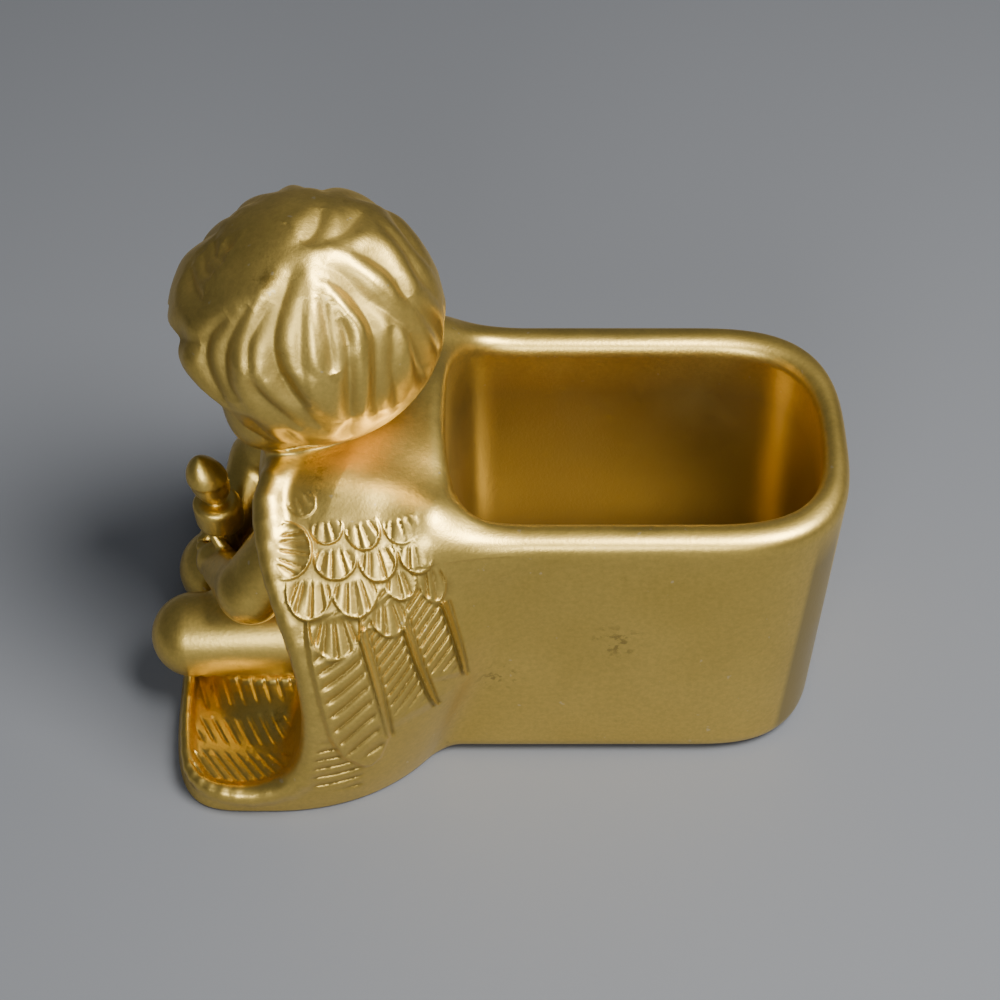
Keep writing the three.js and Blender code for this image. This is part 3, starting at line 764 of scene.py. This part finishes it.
low_corner, high_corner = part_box("cherub_planter")
CENTRE_X = high_corner[0] * 1000 - BOX_END
mesh = bpy.data.meshes.new("gold_casting")
mesh.vertices.add(len(vertices))
mesh.loops.add(quads.size)
mesh.polygons.add(len(quads))
shifted = (vertices + [CENTRE_X, 0, 0]) / 1000
shifted = np.clip(shifted, np.array(low_corner), np.array(high_corner))
mesh.vertices.foreach_set("co", shifted.astype(np.float32).ravel())
mesh.loops.foreach_set("vertex_index", quads.ravel().astype(np.int32))
mesh.polygons.foreach_set("loop_start", np.arange(0, quads.size, 4, dtype=np.int32))
mesh.update(calc_edges=True)
casting = bpy.data.objects.new("gold_casting", mesh)
bpy.context.scene.collection.objects.link(casting)

bpy.context.view_layer.objects.active = casting
casting.select_set(True)
decimate = casting.modifiers.new("lighten", "DECIMATE")
decimate.ratio = min(1.0, TRIANGLES / (2 * len(quads)))
bpy.ops.object.modifier_apply(modifier="lighten")
mesh = casting.data
co = np.zeros(len(mesh.vertices) * 3)
mesh.vertices.foreach_get("co", co)
co = co.reshape(-1, 3) * 1000 - [CENTRE_X, 0, 0]
normal, _ = slope(co)
mesh.polygons.foreach_set("use_smooth", np.ones(len(mesh.polygons), bool))
mesh.normals_split_custom_set_from_vertices(normal.astype(np.float32).tolist())
# Depth in the cuts, kept on the mesh: it darkens the cuts as painted shade and makes them rougher
grooves = mesh.attributes.new("groove", "FLOAT", "POINT")
grooves.data.foreach_set("value", cut_depth(co).astype(np.float32))

# Satin gold paint over ceramic, and the colours of its cuts (darkened as painted shade), the box's inside (its own
# amber tone, darkened further as painted shade of the hollow) and the scuffs
GOLD_DARK, GOLD_LIGHT = (0.66, 0.46, 0.105), (0.76, 0.54, 0.14)
# The box's inside: its own amber tone, darkened further as painted shade of the deep hollow
INSIDE_AMBER_AND_SHADE = (0.40, 0.295, 0.1)
# Painted shade for the cuts of the feathers and the hair
CUT_SHADE = (0.22, 0.165, 0.05)
SPECK_GOLD = (0.78, 0.66, 0.4)
SCUFF_BROWN = (0.2, 0.14, 0.05)
# Scuffs on the near side of the box: (place, reach) in metres
SCUFFS = [((0.0016, -0.034, 0.027), 0.006), ((0.026, -0.034, 0.0385), 0.007), ((0.028, -0.034, 0.011), 0.0025)]

gold = bpy.data.materials.new("gold_paint")
gold.use_nodes = True
nodes, links = gold.node_tree.nodes, gold.node_tree.links
shader = nodes["Principled BSDF"]
shader.inputs["Metallic"].default_value = 1.0
place = nodes.new("ShaderNodeTexCoord").outputs["Object"]
spot = nodes.new("ShaderNodeSeparateXYZ")
links.new(place, spot.inputs["Vector"])
cuts = nodes.new("ShaderNodeAttribute")
cuts.attribute_name = "groove"

base = ramp(noise(26, 3), [(0.3, GOLD_DARK), (0.7, GOLD_LIGHT)])
grain = ramp(noise(900, 4, 0.7), [(0.35, (0.86, 0.86, 0.86)), (0.65, (1.0, 1.0, 1.0))])
base = mix("MULTIPLY", 1.0, base, grain)
base = mix("MIX", remap(noise(420, 2), 0.72, 0.76, 0.0, 0.5), base, SPECK_GOLD)
wear = ramp(noise(60, 6, 0.75), [(0.28, (0.62, 0.6, 0.56)), (0.36, (1.0, 1.0, 1.0))])
base = mix("MULTIPLY", 1.0, base, wear)
# Inside of the box, below the rim: its own amber tone, darkened further as painted shade of the hollow
deep = remap(spot.outputs["Z"], 0.055, 0.066, 1.0, 0.0)
deep = combine(deep, remap(combine(spot.outputs["Y"], None, "ABSOLUTE"), 0.0275, 0.0285, 1.0, 0.0))
deep = combine(deep, remap(spot.outputs["X"], -0.0115, -0.0105, 0.0, 1.0))
deep = combine(deep, remap(spot.outputs["X"], 0.0715, 0.0725, 1.0, 0.0))
base = mix("MIX", deep, base, INSIDE_AMBER_AND_SHADE)
# Painted shade: the cuts in the feathers and the hair are darkened by how deep they lie
base = mix("MIX", remap(cuts.outputs["Fac"], 0.0, 1.0, 0.0, 0.8), base, CUT_SHADE)
near_side = remap(spot.outputs["Y"], -0.0325, -0.0315, 1.0, 0.0)
for centre, reach in SCUFFS:
    away = nodes.new("ShaderNodeVectorMath")
    away.operation = "DISTANCE"
    away.inputs[1].default_value = centre
    links.new(place, away.inputs[0])
    scuff = remap(away.outputs["Value"], 0.3 * reach, reach, 1.0, 0.0)
    scuff = combine(scuff, remap(noise(620, 3), 0.53, 0.62, 0.0, 0.55))
    base = mix("MIX", combine(scuff, near_side), base, SCUFF_BROWN)
links.new(base, shader.inputs["Base Color"])
roughness = remap(noise(48, 5, 0.6), 0.3, 0.7, 0.33, 0.42)
roughness = combine(roughness, remap(cuts.outputs["Fac"], 0.0, 1.0, 0.0, 0.22), "ADD")
links.new(roughness, shader.inputs["Roughness"])
bump = nodes.new("ShaderNodeBump")
bump.inputs["Strength"].default_value = 0.12
bump.inputs["Distance"].default_value = 0.0004
links.new(noise(1400, 3, 0.6), bump.inputs["Height"])
links.new(bump.outputs["Normal"], shader.inputs["Normal"])
mesh.materials.clear()
mesh.materials.append(gold)
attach(casting, "root")
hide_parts("cherub_planter")

# Plain floor
FLOOR_GREY = (0.104, 0.110, 0.122)
bpy.ops.mesh.primitive_plane_add(size=6, location=(0, 0, 0))
floor = bpy.context.object
floor.name = "floor"
floor_paint = bpy.data.materials.new("floor_paint")
floor_paint.use_nodes = True
floor_shader = floor_paint.node_tree.nodes["Principled BSDF"]
floor_shader.inputs["Base Color"].default_value = (*FLOOR_GREY, 1)
floor_shader.inputs["Roughness"].default_value = 0.75
floor.data.materials.append(floor_paint)

# Soft studio light
world = bpy.data.worlds.new("studio")
bpy.context.scene.world = world
world.use_nodes = True
world.node_tree.nodes["Background"].inputs["Color"].default_value = (0.80, 0.86, 0.98, 1)
world.node_tree.nodes["Background"].inputs["Strength"].default_value = 0.12
LIT_PLACE = (0, 0, 0.05)
area_light("ceiling", (0.30, -0.20, 0.70), LIT_PLACE, 0.4, 16, (1.0, 0.98, 0.94))
area_light("window", (-0.10, -0.80, 0.46), LIT_PLACE, 0.36, 5.5, (0.98, 0.99, 1.0))

target = np.array([VIEW_X + CENTRE_X, 0.0, VIEW_Z]) / 1000
camera_data = bpy.data.cameras.new("camera")
camera_data.lens = LENS
camera_data.sensor_width = SENSOR
camera = bpy.data.objects.new("camera", camera_data)
bpy.context.scene.collection.objects.link(camera)
back = np.array([0, -math.cos(VIEW_ANGLE), math.sin(VIEW_ANGLE)])
camera.location = target + VIEW_DISTANCE / 1000 * back
camera.rotation_euler = (math.pi / 2 - VIEW_ANGLE, 0, 0)
bpy.context.scene.camera = camera
